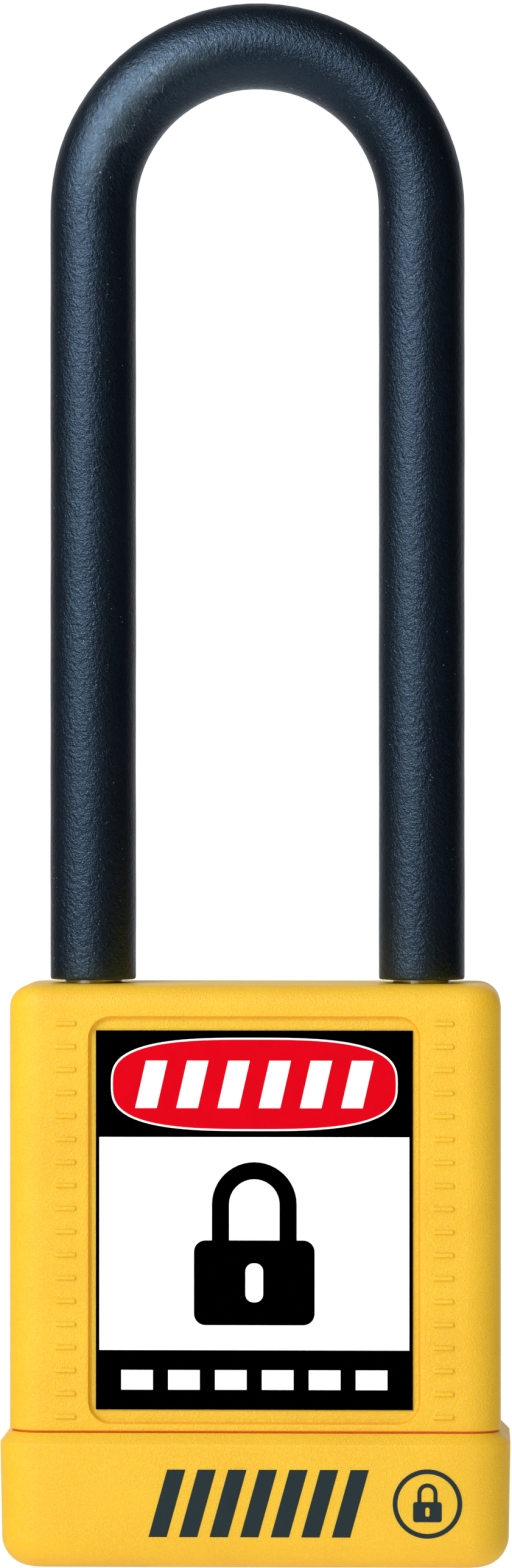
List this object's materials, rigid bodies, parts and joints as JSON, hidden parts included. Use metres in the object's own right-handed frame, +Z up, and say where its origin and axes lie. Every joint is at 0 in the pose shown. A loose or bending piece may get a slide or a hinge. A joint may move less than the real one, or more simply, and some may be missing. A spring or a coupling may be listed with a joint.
{
  "type": "safety lockout padlock",
  "caption": "Slim plastic-covered safety padlock with a long coated shackle, a keyway in its base and a recessed panel for a label on the front and on the back.",
  "frame": {"origin": "centre of the underside of the base cap", "axes": "+Z up along the shackle, +X to the right seen from the front, towards the heel leg, and the front, with its label, faces -Y"},
  "size_m": [0.0436, 0.0206, 0.1343],
  "materials": {
    "cover": "yellow moulded nylon, fine grain, low gloss",
    "label": "printed laminated vinyl, white write-on field with black and red",
    "steel": "plated hardened steel",
    "coating": "blue-black plastic coating, orange-peel texture, satin",
    "aluminium": "machined",
    "spring_steel": "drawn wire",
    "zinc_alloy": "die cast, bright",
    "brass": "turned"
  },
  "bodies": {
    "case": {"cover_sleeve": "cover", "base_cap": "cover", "front_label": "label", "rear_label": "label", "lock_body": "aluminium", "heel_retaining_pin": "steel", "shackle_spring": "spring_steel", "cylinder_housing": "brass", "chamber_strip": "brass", "cylinder_screw": "steel", "pin_spring_1": "spring_steel", "pin_spring_2": "spring_steel", "pin_spring_3": "spring_steel", "pin_spring_4": "spring_steel", "pin_spring_5": "spring_steel", "pin_spring_6": "spring_steel"},
    "shackle": {"shackle_core": "steel", "shackle_coating": "coating"},
    "plug": {"plug": "brass", "plug_clip": "spring_steel"},
    "actuator": {"actuator": "zinc_alloy"},
    "heel_locking_ball": {"heel_locking_ball": "steel"},
    "toe_locking_ball": {"toe_locking_ball": "steel"},
    "key_pin_1": {"key_pin_1": "brass"},
    "key_pin_2": {"key_pin_2": "brass"},
    "key_pin_3": {"key_pin_3": "brass"},
    "key_pin_4": {"key_pin_4": "brass"},
    "key_pin_5": {"key_pin_5": "brass"},
    "key_pin_6": {"key_pin_6": "brass"},
    "driver_pin_1": {"driver_pin_1": "brass"},
    "driver_pin_2": {"driver_pin_2": "brass"},
    "driver_pin_3": {"driver_pin_3": "brass"},
    "driver_pin_4": {"driver_pin_4": "brass"},
    "driver_pin_5": {"driver_pin_5": "brass"},
    "driver_pin_6": {"driver_pin_6": "brass"}
  },
  "joints": [
    {"name": "shackle_lift", "type": "slide", "parent": "case", "child": "shackle", "axis": [0, 0, 1], "range_m": [0, 0.0132], "deforming": ["shackle_spring"]},
    {"name": "plug_turn", "type": "hinge", "parent": "case", "child": "plug", "pos_m": [0, 0, 0.015], "axis": [0, 0, 1], "range_deg": [-90, 0]},
    {"name": "actuator_turn", "type": "hinge", "parent": "case", "child": "actuator", "pos_m": [0, 0, 0.037], "axis": [0, 0, 1], "range_deg": [-90, 0]},
    {"name": "heel_ball_slide", "type": "slide", "parent": "case", "child": "heel_locking_ball", "axis": [1, 0, 0], "range_m": [0, 0.00145]},
    {"name": "toe_ball_slide", "type": "slide", "parent": "case", "child": "toe_locking_ball", "axis": [-1, 0, 0], "range_m": [0, 0.00145]},
    {"name": "key_pin_1_slide", "type": "slide", "parent": "plug", "child": "key_pin_1", "axis": [0, 1, 0], "range_m": [0, 0.0028]},
    {"name": "key_pin_2_slide", "type": "slide", "parent": "plug", "child": "key_pin_2", "axis": [0, 1, 0], "range_m": [0, 0.0016]},
    {"name": "key_pin_3_slide", "type": "slide", "parent": "plug", "child": "key_pin_3", "axis": [0, 1, 0], "range_m": [0, 0.0022]},
    {"name": "key_pin_4_slide", "type": "slide", "parent": "plug", "child": "key_pin_4", "axis": [0, 1, 0], "range_m": [0, 0.001]},
    {"name": "key_pin_5_slide", "type": "slide", "parent": "plug", "child": "key_pin_5", "axis": [0, 1, 0], "range_m": [0, 0.0025]},
    {"name": "key_pin_6_slide", "type": "slide", "parent": "plug", "child": "key_pin_6", "axis": [0, 1, 0], "range_m": [0, 0.0013]},
    {"name": "driver_pin_1_slide", "type": "slide", "parent": "case", "child": "driver_pin_1", "axis": [-1, 0, 0], "range_m": [0, 0.0018], "stiffness_N_per_m": 60, "springref_m": -0.001, "deforming": ["pin_spring_1"]},
    {"name": "driver_pin_2_slide", "type": "slide", "parent": "case", "child": "driver_pin_2", "axis": [-1, 0, 0], "range_m": [0, 0.0018], "stiffness_N_per_m": 60, "springref_m": -0.001, "deforming": ["pin_spring_2"]},
    {"name": "driver_pin_3_slide", "type": "slide", "parent": "case", "child": "driver_pin_3", "axis": [-1, 0, 0], "range_m": [0, 0.0018], "stiffness_N_per_m": 60, "springref_m": -0.001, "deforming": ["pin_spring_3"]},
    {"name": "driver_pin_4_slide", "type": "slide", "parent": "case", "child": "driver_pin_4", "axis": [-1, 0, 0], "range_m": [0, 0.0018], "stiffness_N_per_m": 60, "springref_m": -0.001, "deforming": ["pin_spring_4"]},
    {"name": "driver_pin_5_slide", "type": "slide", "parent": "case", "child": "driver_pin_5", "axis": [-1, 0, 0], "range_m": [0, 0.0018], "stiffness_N_per_m": 60, "springref_m": -0.001, "deforming": ["pin_spring_5"]},
    {"name": "driver_pin_6_slide", "type": "slide", "parent": "case", "child": "driver_pin_6", "axis": [-1, 0, 0], "range_m": [0, 0.0018], "stiffness_N_per_m": 60, "springref_m": -0.001, "deforming": ["pin_spring_6"]}
  ],
  "couplings": [
    {"joint": "actuator_turn", "follows": "plug_turn", "ratio": 1},
    {"joint": "heel_ball_slide", "follows": "plug_turn", "m_per_rad": -0.000923},
    {"joint": "toe_ball_slide", "follows": "plug_turn", "m_per_rad": -0.000923}
  ]
}
